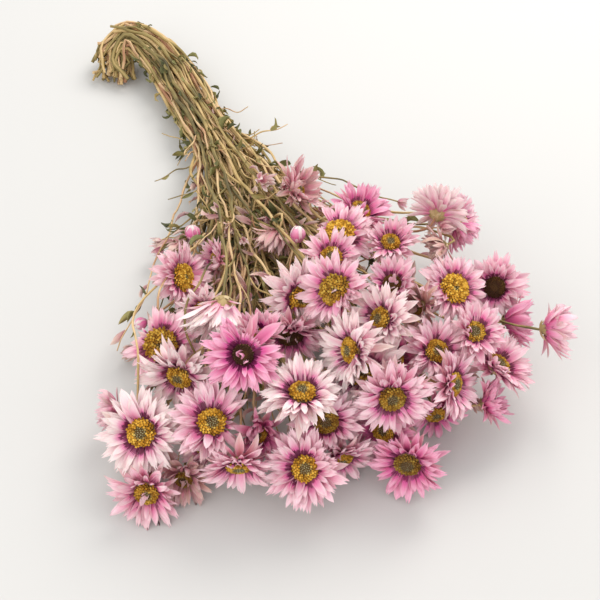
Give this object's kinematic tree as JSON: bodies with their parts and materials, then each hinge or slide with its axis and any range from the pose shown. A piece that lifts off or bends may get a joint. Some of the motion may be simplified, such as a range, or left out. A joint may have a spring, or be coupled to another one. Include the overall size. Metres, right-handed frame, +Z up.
{
  "type": "dried rhodanthe",
  "caption": "Bunch of dried pink paper daisies lying on its side: papery heads on wiry stalks that gather into a thick bundle of stems with hooked cut ends",
  "frame": {"origin": "middle of the box at its base, on the surface that the bunch lies on", "axes": "+Z up, +Y along the stems to their hooked cut ends, the heads towards -Y"},
  "size_m": [0.2562, 0.4362, 0.092],
  "materials": {
    "bract_pale": "dry papery bracts, pale pink, with a golden disc",
    "bract_pink": "dry papery bracts, mid pink, with a golden disc",
    "bract_rose": "dry papery bracts, deep rose, with a golden disc",
    "straw": "dry straw-coloured stems with dull olive leaves"
  },
  "bodies": {
    "root": {"bloom_01": "bract_rose", "bloom_02": "bract_pink", "bloom_03": "bract_pink", "bloom_04": "bract_pink", "bloom_05": "bract_rose", "bloom_06": "bract_pink", "bloom_07": "bract_rose", "bloom_08": "bract_pink", "bloom_09": "bract_pink", "bloom_10": "bract_rose", "bloom_11": "bract_pink", "bloom_12": "bract_rose", "bloom_13": "bract_pink", "bloom_14": "bract_pale", "bloom_15": "bract_pale", "bloom_16": "bract_pink", "bloom_17": "bract_pink", "bloom_18": "bract_pink", "bloom_19": "bract_pink", "bloom_20": "bract_pink", "bloom_21": "bract_pink", "bloom_22": "bract_pale", "bloom_23": "bract_rose", "bloom_24": "bract_pale", "bloom_25": "bract_rose", "bloom_26": "bract_pale", "bloom_27": "bract_rose", "bloom_28": "bract_pink", "bloom_29": "bract_pink", "bloom_30": "bract_pink", "bloom_31": "bract_pink", "bloom_32": "bract_pink", "bloom_33": "bract_pale", "bloom_34": "bract_pink", "bloom_35": "bract_pale", "bloom_36": "bract_pink", "bloom_37": "bract_pink", "bloom_38": "bract_pink", "bloom_39": "bract_pale", "bloom_40": "bract_pink", "bloom_41": "bract_pale", "bloom_42": "bract_pink", "bloom_43": "bract_rose", "bloom_44": "bract_pink", "bloom_45": "bract_pink", "bud_46": "bract_pale", "bloom_47": "bract_pink", "bloom_48": "bract_pale", "bud_49": "bract_pale", "bloom_50": "bract_pink", "bloom_51": "bract_rose", "bloom_52": "bract_pink", "bloom_53": "bract_pink", "bloom_54": "bract_pink", "bud_55": "bract_pale", "stems": "straw"}
  },
  "joints": []
}
